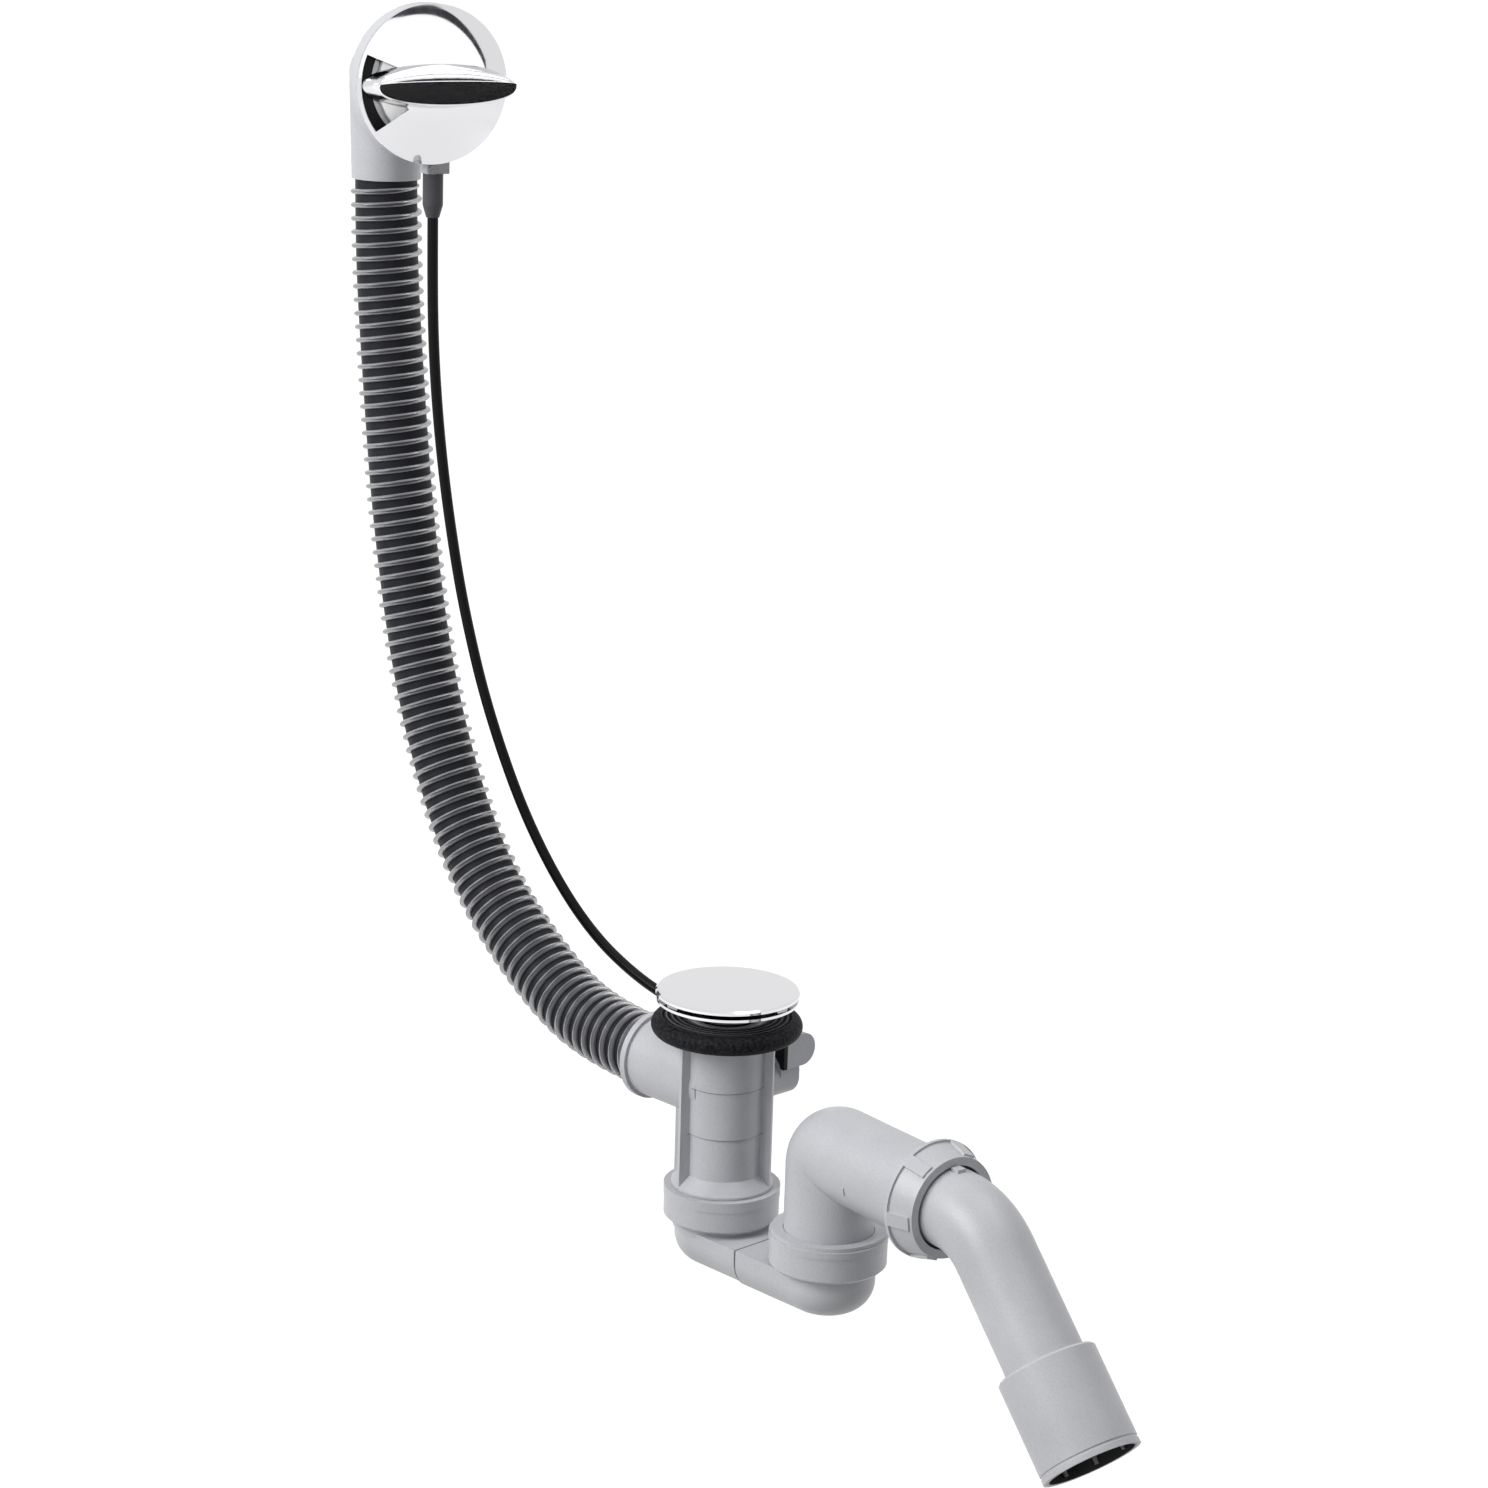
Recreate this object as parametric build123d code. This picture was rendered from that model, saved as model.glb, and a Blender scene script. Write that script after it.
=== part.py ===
from build123d import *
import os
from math import cos, pi, radians, sin, sqrt, tan

# Bath waste and overflow with a turning handle, a Bowden cable and a low swivel trap.
# The origin lies on the waste's axis, on the bath's underside, where the gasket seals.
# +Z is up and +X points towards the outlet. All lengths are in millimetres.

# Fits
running_gap = 0.05
loose_gap = 0.3
seat_gap = 0.02

# Waste body: barrel, seat plate, neck and fins
gasket_r = 39.0
gasket_t = 10.0
gasket_ridge_pitch = 2.8
gasket_ridge_h = 0.9
gasket_ridges = 4
neck_r = 21.7
neck_top_z = -2.0
seat_plate_r = 26.0
seat_plate_t = 3.0
barrel_wall = 2.8
barrel_top_r = 21.2
barrel_mid_r = 20.8
barrel_low_r = 20.2
barrel_step_1_z = -35.8
barrel_step_2_z = -61.2
flare_top_z = -84.0
collar_z = -91.6
flare_r = 26.5
fin_r = 26.0
fin_t = 2.4
fin_angles = (28.0, 75.0, 208.0, 255.0)
flare_edge_h = 1.5

# Overflow branch on the barrel
branch_z = -36.4
branch_r = 21.5
branch_end_x = -55.5
branch_lip_r = 23.3
branch_lip_t = 3.6
branch_socket_r = 20.2
branch_socket_depth = 16.0

# Chromed valve flange, plug and stem
flange_r = 36.5
flange_rim_z = 8.2
flange_rim_t = 1.4
flange_dish_r = 31.0
flange_dish_lip = 1.0
flange_tube_z = 0.5
flange_tube_len = 18.0
flange_wall = 1.6
hub_r = 6.0
hub_h = 6.0
spoke_t = 3.0
spoke_root = 0.5
plug_r = 37.0
plug_top_z = 14.5
plug_edge_t = 2.6
plug_crown = 0.4
plug_bevel = 0.9
plug_boss_r = 20.0
plug_boss_z = 7.0
plug_seal_r = 25.0
plug_seal_t = 2.3
stem_r = 3.0
stem_thread_len = 4.0
stem_nut_af = 10.0
stem_nut_h = 4.0

# Lifting crank on its cross shaft, with the cable lever in the side housing
shaft_x = -9.5
shaft_z = -42.0
shaft_r = 3.0
shaft_tail = 0.5
crank_len = 10.0
crank_t = 7.0
crank_w = 3.0
crank_nose_r = 3.0
crank_rest_deg = 30.0
lever_len = 14.0
lever_w = 6.0
lever_t = 5.0
lever_hub_r = 5.5
lever_inset = 3.0
nipple_r = 1.6
nipple_cheek = 1.0
boss_r = 11.0
boss_drop = 3.0
boss_end_y = 39.0
housing_plate_t = 2.5
housing_depth = 20.0
housing_hub_depth = 11.0
housing_wall = 2.0
housing_half_h = 8.7
housing_z = -29.6
housing_x_left = -28.5
housing_x_right = 3.5
cable_socket_len = 6.0
cable_socket_wall = 2.0
cable_insert = 8.0
cable_rise = 0.2
shaft_seal_section_r = 1.2
shaft_seal_y = 30.0
housing_screw_r = 1.5
housing_screw_inset = 4.0
housing_screw_drop = 4.4
housing_screw_len = 11.0
housing_screw_post_r = 2.8
housing_screw_head_r = 2.7
housing_screw_head_h = 1.6

# Trap: two halves of a flat channel, with a swivel collar on each
riser_x = 78.5
trap_half_w = 24.0
trap_top_z = -112.0
trap_bottom_z = -134.2
trap_bottom_fillet = 16.0
trap_wall = 2.4
trap_parting_x = 36.0
trap_lap = 0.5
cup_r = 30.0
ring_r = 30.3
ring_lip_r = 29.0
ring_lip_h = 2.0
ring_h = 5.4
cup_neck_r = 25.0
cup_lift = 1.5
inlet_cup_lift = 3.0
cup_chamfer = 1.5
spigot_r = 22.6
spigot_foot_z = -114.0
seal_h = 7.0
seal_w = 2.6

# Riser elbow, union nut and outlet bend
riser_r = 23.0
pipe_wall = 2.6
elbow_bend_r = 8.0
leg_z = -49.3
leg_turn_deg = -6.6
leg_len = 86.0
nib_at = 37.0
nib_deg = 194.0
nib_h = 4.0
nib_w = 2.0
nib_proud = 0.6
thread_r = 24.6
thread_len = 7.5
nut_flange_r = 30.0
nut_flange_t = 2.0
nut_r = 28.8
nut_front_r = 25.6
nut_len = 15.4
nut_overhang = 7.4
nut_wall = 2.4
nut_ribs = 6
nut_rib_w = 7.0
nut_rib_h = 1.2
nut_rib_end = 1.4
nut_rib_turn_deg = 67.0
nut_mouth_gap = 1.4
wedge_seal_gap = 0.8
wedge_seal_side = 1.2
slip_washer_t = 1.1
slip_washer_side = 0.4
outlet_r = 20.0
outlet_insert = 14.0
outlet_reach = 28.0
outlet_bend_deg = 46.5
outlet_bend_r = 40.0
key_len = 5.0
key_w = 5.0
key_h = 1.6
key_gap = 0.6
adapter_r = 25.0
adapter_start = 74.3
adapter_len = 51.3
adapter_wall = 3.0
adapter_shoulder_t = 4.0
adapter_edge = 1.2
adapter_groove_at = 4.0
adapter_groove_w = 1.6
adapter_groove_d = 0.5
adapter_groove_slope = 0.4
adapter_ribs = 8
adapter_rib_t = 2.0
adapter_rib_h = 1.3
adapter_rib_setback = 2.0
adapter_seal_at = 4.0
adapter_seal_len = 6.0
adapter_overlap = 30.0

# Overflow head: its own axis points out of the bath wall, turned about the hose's axis
head_x = -284.0
head_z = 453.9
head_turn_deg = -17.4
rim_w = 67.0
rim_r = 41.3
drum_depth = 13.0
drum_wall = 2.5
rosette_t = 1.8
rosette_sag = 9.0
rosette_edge = 2.2
rosette_lip = 0.6
rosette_boss_wall = 2.5
rosette_boss_gap = 0.5
elbow_top_r = 20.0
elbow_spigot_r = 18.6
elbow_spigot_v = -55.5
elbow_wall = 2.4
duct_front_r = 30.0
duct_overlap = 1.0
window_from_deg = 157.0
window_to_deg = 217.0
window_in_r = 20.0
window_edge = 1.5
handle_base_left = 40.5
handle_base_right = 41.0
handle_base_up = 15.0
handle_base_down = 12.2
handle_base_tip = 5.5
handle_base_v = 0.0
handle_base_w = 4.0
handle_face_left = 35.1
handle_face_right = 40.0
handle_face_up = 5.5
handle_face_down = 8.3
handle_face_tip = 2.6
handle_face_v = 1.7
handle_face_w = 16.8
spindle_r = 4.0
spindle_tail = 10.0
spindle_nose = 2.8
spindle_end_gap = 0.2
spider_hub_r = 7.5
spider_t = 6.0
spider_spoke_t = 3.5
spider_root = 1.5
cable_wheel_margin = 11.8
cable_wheel_t = 3.5
cable_wheel_back = 4.5
wheel_pin_u = 4.5
wheel_pin_v = -10.2
overflow_gasket_gap = 0.8
overflow_gasket_t = 2.0
overflow_gasket_step = 1.0
lug_u0 = -0.5
lug_u1 = 12.0
lug_drop = 5.7
lug_h = 20.0
lug_back = 3.0
lug_front = 7.0
lug_screw_u = 2.5
lug_screw_rise = 2.6
lug_screw_af = 5.0
lug_screw_h = 2.2
boot_r = 5.4
boot_tip_r = 3.5
boot_len = 16.5
boot_taper = 6.5
boot_socket = 4.0
cable_inset = 2.6
cable_r = 2.9
cable_lead = 14.0
wire_r = 0.9
wire_tail = 5.0

# Corrugated overflow hose, in the vertical plane through the waste's axis
hose_r = 16.7
hose_wall = 1.5
bead_r = 19.2
bead_w = 3.4
bead_pitch = 7.2
hose_seal_len = 14.0
hose_seal_inset = 1.0
hose_route = [
    (-284.0, 0, 408.0),
    (-284.0, 0, 362.0),
    (-277.6, 0, 296.0),
    (-266.5, 0, 205.0),
    (-243.5, 0, 110.0),
    (-200.0, 0, 28.0),
    (-138.0, 0, -20.0),
    (-90.0, 0, branch_z),
    (-42.0, 0, branch_z),
]

# Bowden cable: from the boot under the head, behind the plug, into the side housing
cable_route = [
    (-229.6, -10.8, 318.0),
    (-228.6, -7.4, 272.0),
    (-225.6, -2.4, 224.0),
    (-219.5, 4.4, 170.0),
    (-206.5, 12.6, 112.0),
    (-184.5, 24.6, 50.0),
    (-152.0, 37.0, 1.0),
    (-112.0, 47.0, -24.5),
    (-70.0, 49.6, -29.4),
]


def turned(points):
    """Solid of revolution about Z of an outline given as (radius, height) corners."""
    return revolve(Plane.XZ * Polygon(*points, align=None), Axis.Z)


def tube(r_out, r_in, z0, z1):
    return turned([(r_in, z0), (r_out, z0), (r_out, z1), (r_in, z1)])


def rod(r, z0, z1):
    return Pos(0, 0, z0) * Cylinder(r, z1 - z0, align=(Align.CENTER, Align.CENTER, Align.MIN))


def along_x(shape):
    """Turns a shape made about Z so that its axis points along +X."""
    return Rot(0, 90, 0) * shape


def along_y(shape):
    """Turns a shape made about Z so that its axis points along +Y."""
    return Rot(-90, 0, 0) * shape


def save(name, shape):
    solids = shape.solids()
    whole = solids[0] if len(solids) == 1 else Compound(children=solids)
    export_step(whole, f"parts/{name}.step")


def corner_radii(route):
    """Largest tangent arc that each corner's two runs leave room for."""
    points = [Vector(*p) for p in route]
    radii = []
    for before, here, after in zip(points, points[1:], points[2:]):
        turn = radians((here - before).get_angle(after - here))
        shorter = min((here - before).length, (after - here).length)
        radii.append(0.45 * shorter / tan(turn / 2))
    return radii


def route_wire(route):
    radii = corner_radii(route)
    print("bend radii", [round(r) for r in radii])
    return FilletPolyline(*route, radius=radii)


def pipe_along(wire, r):
    start = Plane(origin=wire @ 0, z_dir=wire % 0)
    return sweep(start * Circle(r), path=wire)


# Waste body and what it clamps

barrel_bore_r = barrel_low_r - barrel_wall
seat_z = -gasket_t
shaft_place = Pos(shaft_x, 0, shaft_z)
housing_y0 = boss_end_y + housing_plate_t
housing_y1 = housing_y0 + housing_depth
housing_hub_y1 = housing_y0 + housing_hub_depth
housing_screw_place = Pos(housing_x_left + housing_screw_inset, 0, housing_z - housing_screw_drop)


def housing_hub(r, y0, y1):
    """Round hub of the side housing on the shaft, in line with the boss below it."""
    hub = shaft_place * along_y(rod(r, y0, y1))
    return hub + Pos(0, 0, -boss_drop) * hub


def housing_block(inset):
    """Side housing: a block along X with a round outer side."""
    half_h = housing_half_h - inset
    length = housing_x_right - housing_x_left - 2 * inset
    round_y = housing_y1 - housing_half_h
    flat = Pos(0, (housing_y0 + round_y) / 2, housing_z) * Box(length, round_y - housing_y0, 2 * half_h)
    outer = Pos(0, round_y, housing_z) * along_x(rod(half_h, -length / 2, length / 2))
    outer &= Pos(0, round_y, housing_z) * Box(length, 2 * half_h, 2 * half_h)
    return Pos((housing_x_left + housing_x_right) / 2, 0, 0) * (flat + outer)


def waste_body():
    body = turned([
        (0, spigot_foot_z), (spigot_r, spigot_foot_z), (spigot_r, collar_z + loose_gap),
        (flare_r, collar_z + loose_gap), (flare_r, collar_z + flare_edge_h), (barrel_low_r, flare_top_z),
        (barrel_low_r, barrel_step_2_z), (barrel_mid_r, barrel_step_2_z),
        (barrel_mid_r, barrel_step_1_z), (barrel_top_r, barrel_step_1_z),
        (barrel_top_r, seat_z - seat_plate_t), (seat_plate_r, seat_z - seat_plate_t),
        (seat_plate_r, seat_z), (neck_r, seat_z), (neck_r, neck_top_z), (0, neck_top_z),
    ])
    fin_h = seat_z - seat_plate_t - collar_z - flare_edge_h
    fin = Box(fin_r, fin_t, fin_h, align=(Align.MIN, Align.CENTER, Align.MIN))
    for angle in fin_angles:
        body += Rot(0, 0, angle) * Pos(0, 0, collar_z + flare_edge_h) * fin
    branch_place = Pos(0, 0, branch_z)
    body += branch_place * along_x(rod(branch_r, branch_end_x, 0))
    body += branch_place * along_x(rod(branch_lip_r, branch_end_x, branch_end_x + branch_lip_t))
    body += Pos(0, 0, -boss_drop) * shaft_place * along_y(rod(boss_r, 0, boss_end_y))
    body -= rod(barrel_bore_r, spigot_foot_z, neck_top_z)
    body -= branch_place * along_x(rod(hose_r - hose_wall, branch_end_x, 0))
    socket_end = branch_end_x + branch_socket_depth
    body -= branch_place * along_x(rod(branch_socket_r, branch_end_x, socket_end))
    body -= shaft_place * along_y(rod(shaft_r + running_gap, 0, boss_end_y))
    groove = 2 * shaft_seal_section_r + 2 * seat_gap
    groove_y = shaft_seal_y - groove / 2
    return body - shaft_place * along_y(rod(shaft_r + groove, groove_y, groove_y + groove))


def waste_gasket():
    """Rubber ring with a round outer edge and fine ridges on its top face."""
    inner_r = neck_r + loose_gap
    edge_r = gasket_t / 2
    flat_r = gasket_r - edge_r
    outline = Polyline((flat_r, 0), (inner_r, 0), (inner_r, -gasket_t), (flat_r, -gasket_t))
    outline += ThreePointArc((flat_r, -gasket_t), (gasket_r, -edge_r), (flat_r, 0))
    ring = revolve(Plane.XZ * make_face(outline), Axis.Z)
    for i in range(gasket_ridges):
        r = flat_r - (i + 0.5) * gasket_ridge_pitch
        w = gasket_ridge_pitch / 2
        ring -= turned([(r - w / 2, 0), (r, -gasket_ridge_h), (r + w / 2, 0)])
    return ring


def dish_r(z):
    """Inner radius of the flange's dish at a height, on its straight cone."""
    rise = flange_rim_z + flange_rim_t - flange_tube_z
    tube_in = barrel_bore_r - seat_gap - flange_wall
    return tube_in + (flange_dish_r - tube_in) * (z - flange_tube_z) / rise


def waste_flange():
    tube_out = barrel_bore_r - seat_gap
    tube_in = tube_out - flange_wall
    rim_top = flange_rim_z + flange_rim_t
    foot_z = flange_tube_z - flange_tube_len
    flange = turned([
        (tube_in, foot_z), (tube_out, foot_z), (tube_out, flange_tube_z),
        (flange_dish_r + flange_dish_lip, flange_rim_z), (flange_r, flange_rim_z), (flange_r, rim_top),
        (flange_dish_r, rim_top), (tube_in, flange_tube_z),
    ])
    hub_top = foot_z + hub_h
    flange += rod(hub_r, foot_z, hub_top)
    for angle in (30, 150, 270):
        spoke = Box(tube_in + spoke_root, spoke_t, hub_h, align=(Align.MIN, Align.CENTER, Align.MIN))
        flange += Rot(0, 0, angle) * Pos(0, 0, foot_z) * spoke
    return flange - rod(stem_r + running_gap, foot_z, hub_top)


# Plug, its seal and the stem that the crank lifts

crank_rest = radians(crank_rest_deg)
crank_tip_z = shaft_z - crank_len * sin(crank_rest)
foot_z = crank_tip_z + crank_nose_r + loose_gap
seal_top_z = plug_boss_z
nut_top_z = seal_top_z - plug_seal_t


def plug_cap():
    edge_top = plug_top_z - plug_crown
    under_z = plug_top_z - plug_edge_t
    crown = Line((0, plug_boss_z), (0, plug_top_z))
    crown_r = plug_r - plug_bevel
    half_way = (crown_r / 2, plug_top_z - plug_crown / 4)
    crown += ThreePointArc((0, plug_top_z), half_way, (crown_r, edge_top))
    crown += Polyline(
        (crown_r, edge_top), (plug_r, edge_top - plug_bevel), (plug_r, under_z),
        (plug_boss_r, under_z), (plug_boss_r, plug_boss_z), (0, plug_boss_z),
    )
    cap = revolve(Plane.XZ * make_face(crown), Axis.Z)
    return cap - rod(stem_r + seat_gap, plug_boss_z, plug_boss_z + stem_thread_len)


def plug_seal():
    low_z = seal_top_z - plug_seal_t
    low_r = dish_r(low_z) - loose_gap
    top_r = min(plug_seal_r, dish_r(seal_top_z) - loose_gap)
    hole = stem_r + seat_gap
    return turned([(hole, low_z), (low_r, low_z), (top_r, seal_top_z), (hole, seal_top_z)])


def plug_stem():
    return rod(stem_r, foot_z, plug_boss_z + stem_thread_len)


def stem_nut():
    hexagon = RegularPolygon(stem_nut_af / 2, 6, major_radius=False) - Circle(stem_r + seat_gap)
    return extrude(Plane.XY.offset(nut_top_z - stem_nut_h) * hexagon, stem_nut_h)


# Cross shaft with the lifting crank inside the barrel, and the cable lever outside

lever_y = housing_y0 + lever_inset
shaft_end_y = lever_y + lever_t + shaft_tail


def arm(length, width, angle_deg, y0, y1):
    """Flat arm from the shaft's axis, at an angle from +X towards +Z."""
    slot = Rot(0, 0, angle_deg) * Pos(length / 2, 0) * SlotCenterToCenter(length, width)
    plan = Plane((shaft_x, y0, shaft_z), x_dir=(1, 0, 0), z_dir=(0, -1, 0)) * slot
    return extrude(plan, y0 - y1)


def crank_shaft():
    shaft = shaft_place * along_y(rod(shaft_r, 0, shaft_end_y))
    shaft += shaft_place * along_y(rod(shaft_r, -crank_t / 2, 0))
    shaft += arm(crank_len, crank_w, -crank_rest_deg, -crank_t / 2, crank_t / 2)
    tip_x = shaft_x + crank_len * cos(crank_rest)
    return shaft + Pos(tip_x, 0, crank_tip_z) * along_y(rod(crank_nose_r, -crank_t / 2, crank_t / 2))


lever_rest_deg = 90.0 - crank_rest_deg
lever_tip = (
    shaft_x + lever_len * cos(radians(lever_rest_deg)),
    shaft_z + lever_len * sin(radians(lever_rest_deg)),
)


def cable_lever():
    y1 = lever_y + lever_t
    lever = arm(lever_len, lever_w, lever_rest_deg, lever_y, y1)
    lever += shaft_place * along_y(rod(lever_hub_r, lever_y, y1))
    lever -= shaft_place * along_y(rod(shaft_r + seat_gap, lever_y, y1))
    return lever - Pos(lever_tip[0], 0, lever_tip[1]) * along_y(rod(nipple_r + seat_gap, lever_y, y1))


def lever_nipple():
    return Pos(lever_tip[0], 0, lever_tip[1]) * along_y(rod(nipple_r, lever_y, lever_y + lever_t))


def shaft_seal():
    middle_r = shaft_r + shaft_seal_section_r + seat_gap
    ring = Pos(0, 0, shaft_seal_y) * Torus(middle_r, shaft_seal_section_r)
    return shaft_place * along_y(ring)


cable_end_x = housing_x_left - cable_socket_len
cable_end_y = lever_y + lever_t / 2
cable_end_z = housing_z + cable_rise


def housing_plate():
    """Black rubber plate that closes the housing towards the barrel, cut out for the hub."""
    plan = Box(housing_x_right - housing_x_left, housing_plate_t, 2 * housing_half_h)
    plate = Pos((housing_x_left + housing_x_right) / 2, boss_end_y + housing_plate_t / 2, housing_z) * plan
    plate -= housing_hub(boss_r + seat_gap, boss_end_y, housing_y0)
    return plate - housing_screw_place * along_y(rod(housing_screw_r + running_gap, boss_end_y, housing_y0))


def cable_housing():
    cavity = housing_block(housing_wall)
    cavity -= housing_screw_place * along_y(rod(housing_screw_post_r, housing_y0, housing_y1))
    hub_in_r = boss_r - housing_wall
    cavity += shaft_place * along_y(rod(hub_in_r, housing_y0, housing_hub_y1 - housing_wall))
    cover = housing_block(0) + housing_hub(boss_r, boss_end_y, housing_hub_y1) - cavity
    cover -= shaft_place * along_y(rod(shaft_r + running_gap, boss_end_y, housing_y0))
    socket = Pos(cable_end_x, cable_end_y, cable_end_z)
    cover += socket * along_x(rod(cable_r + cable_socket_wall, 0, cable_insert + cable_socket_wall))
    cover -= socket * along_x(rod(cable_r + seat_gap, 0, cable_insert))
    cover -= socket * along_x(rod(wire_r + loose_gap, 0, cable_insert + 2 * cable_socket_wall))
    hole_end = boss_end_y + housing_screw_len + seat_gap
    return cover - housing_screw_place * along_y(rod(housing_screw_r + running_gap, housing_y0, hole_end))


def housing_screw():
    """Pan-head screw through the plate into the housing's post."""
    screw = rod(housing_screw_r, boss_end_y, boss_end_y + housing_screw_len)
    screw += rod(housing_screw_head_r, boss_end_y - housing_screw_head_h, boss_end_y)
    return housing_screw_place * along_y(screw)


# Trap: the channel is one rounded box cut at its parting line into two mouldings


def channel_block(inset, grow):
    """Rounded channel between the two swivel axes, inset by a wall or grown by a lap."""
    r = trap_half_w + grow - inset
    plan = Pos(riser_x / 2, 0) * SlotCenterToCenter(riser_x, 2 * r)
    height = trap_top_z - trap_bottom_z + 2 * grow - 2 * inset
    block = extrude(Plane.XY.offset(trap_bottom_z - grow + inset) * plan, height)
    return fillet(block.faces().sort_by(Axis.Z)[0].edges(), trap_bottom_fillet - inset)


def channel_side(x0, x1):
    mid_z = (trap_top_z + trap_bottom_z) / 2
    return Pos((x0 + x1) / 2, 0, mid_z) * Box(x1 - x0, 4 * trap_half_w, 4 * trap_half_w)


cup_top_z = collar_z - ring_h
seal_r_in = spigot_r + loose_gap
seal_r_out = seal_r_in + seal_w


def cup(lift):
    """Collar cup on a short neck, its foot lifted above the channel's top."""
    foot = trap_top_z + lift
    return turned([
        (0, trap_top_z - trap_wall), (cup_neck_r, trap_top_z - trap_wall), (cup_neck_r, foot),
        (cup_r - cup_chamfer, foot), (cup_r, foot + cup_chamfer), (cup_r, cup_top_z), (0, cup_top_z),
    ])


def trap_inlet():
    reach = 2 * trap_half_w
    half = channel_block(0, 0) & channel_side(-reach, trap_parting_x)
    half += cup(inlet_cup_lift)
    half -= channel_block(trap_wall, 0) & channel_side(-reach, trap_parting_x)
    half -= rod(spigot_r + loose_gap, trap_bottom_z / 2 + trap_top_z / 2, cup_top_z)
    return half - rod(seal_r_out + seat_gap, cup_top_z - seal_h, cup_top_z)


def trap_outlet():
    reach = 2 * trap_half_w + riser_x
    half = channel_block(0, trap_lap) & channel_side(trap_parting_x, reach)
    place = Pos(riser_x, 0, 0)
    half += place * cup(cup_lift)
    half -= channel_block(trap_wall, trap_lap) & channel_side(trap_parting_x, reach)
    half -= place * rod(riser_r + loose_gap, trap_bottom_z / 2 + trap_top_z / 2, cup_top_z)
    return half - place * rod(riser_r + loose_gap + seal_w + seat_gap, cup_top_z - seal_h, cup_top_z)


def inlet_ring():
    """Plain snap ring on the cup's mouth."""
    return tube(ring_r, spigot_r + loose_gap, cup_top_z, collar_z)


def outlet_ring():
    """Snap ring on the cup's mouth, with a smaller lip on top."""
    bore_r = riser_r + loose_gap
    return Pos(riser_x, 0, 0) * turned([
        (bore_r, cup_top_z), (ring_r, cup_top_z), (ring_r, collar_z - ring_lip_h),
        (ring_lip_r, collar_z - ring_lip_h), (ring_lip_r, collar_z), (bore_r, collar_z),
    ])


def lip_seal(bore_r):
    """Rubber ring with two lips towards the pipe."""
    out_r = bore_r + seal_w
    lip = seal_w / 3
    return turned([
        (bore_r, cup_top_z), (out_r, cup_top_z), (out_r, cup_top_z - seal_h), (bore_r, cup_top_z - seal_h),
        (bore_r + lip, cup_top_z - 0.7 * seal_h), (bore_r, cup_top_z - 0.5 * seal_h),
        (bore_r + lip, cup_top_z - 0.3 * seal_h),
    ])


# Riser elbow, union nut and outlet; "leg" frame: Z along the outlet leg, from the riser's axis

leg_turn = radians(leg_turn_deg)
leg_dir = Vector(cos(leg_turn), sin(leg_turn), 0)
leg_plane = Plane(origin=(riser_x, 0, leg_z), x_dir=(-sin(leg_turn), cos(leg_turn), 0), z_dir=leg_dir)
leg_place = leg_plane.location
nut_front = leg_len + nut_overhang
nut_back = nut_front - nut_len


def elbow_core(r):
    """Upright and level bar of one radius, joined by the outer half of a tight bend."""
    bend_axis = Axis((elbow_bend_r, 0, -elbow_bend_r), (0, 1, 0))
    beyond = Pos(elbow_bend_r, 0) * Rectangle(4 * r, 4 * r, align=(Align.MIN, Align.CENTER))
    corner = revolve(Pos(0, 0, -elbow_bend_r) * (Circle(r) - beyond), bend_axis, 90)
    riser_bar = rod(r, spigot_foot_z - leg_z, -elbow_bend_r)
    return corner + riser_bar + along_x(rod(r, elbow_bend_r, leg_len))


def riser_elbow():
    place = Pos(riser_x, 0, leg_z) * Rot(0, 0, leg_turn_deg)
    elbow = place * elbow_core(riser_r)
    elbow += leg_place * rod(thread_r, leg_len - thread_len, leg_len)
    nib = Pos(riser_r, 0, nib_at) * Box(2 * nib_proud, nib_h, nib_w)
    elbow += leg_place * Rot(0, 0, nib_deg) * nib
    return elbow - place * elbow_core(riser_r - pipe_wall)


def union_nut():
    """Round nut with a flange and ribs, turned in at the front to press the seal."""
    mouth_r = outlet_r + nut_mouth_gap
    bore_r = thread_r + running_gap
    shoulder = nut_back + nut_flange_t
    rib_end = nut_front - nut_rib_end
    nut = turned([
        (bore_r, nut_back), (nut_flange_r, nut_back), (nut_flange_r, shoulder), (nut_r, shoulder),
        (nut_front_r, nut_front), (mouth_r, nut_front), (mouth_r, nut_front - nut_wall),
        (bore_r, nut_front - nut_wall),
    ])
    rib_front = nut_front_r + nut_rib_h
    foot = (bore_r + nut_front_r) / 2
    side = Polygon(
        (foot, shoulder), (nut_flange_r, shoulder), (rib_front, rib_end), (foot, rib_end), align=None,
    )
    rib = extrude(Plane.XZ * side, nut_rib_w / 2, both=True)
    for i in range(nut_ribs):
        nut += Rot(0, 0, nut_rib_turn_deg + i * 360 / nut_ribs) * rib
    return leg_place * nut


def wedge_seal():
    """Rubber ring that the nut wedges between the leg's mouth and the pipe."""
    front = nut_front - nut_wall - seat_gap
    inner = outlet_r + loose_gap
    outer = thread_r - wedge_seal_side
    return leg_place * tube(outer, inner, leg_len + wedge_seal_gap, front - slip_washer_t - 2 * running_gap)


def slip_washer():
    """Plastic washer between the nut and the rubber."""
    front = nut_front - nut_wall - seat_gap
    inner = outlet_r + loose_gap
    return leg_place * tube(thread_r - slip_washer_side, inner, front - slip_washer_t, front)


bend = radians(outlet_bend_deg)
fall_dir = leg_dir * cos(bend) + Vector(0, 0, -sin(bend))
kink = Vector(riser_x, 0, leg_z) + leg_dir * (leg_len + outlet_reach)
fall_plane = Plane(origin=kink, x_dir=(-sin(leg_turn), cos(leg_turn), 0), z_dir=fall_dir)
fall_place = fall_plane.location


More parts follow.
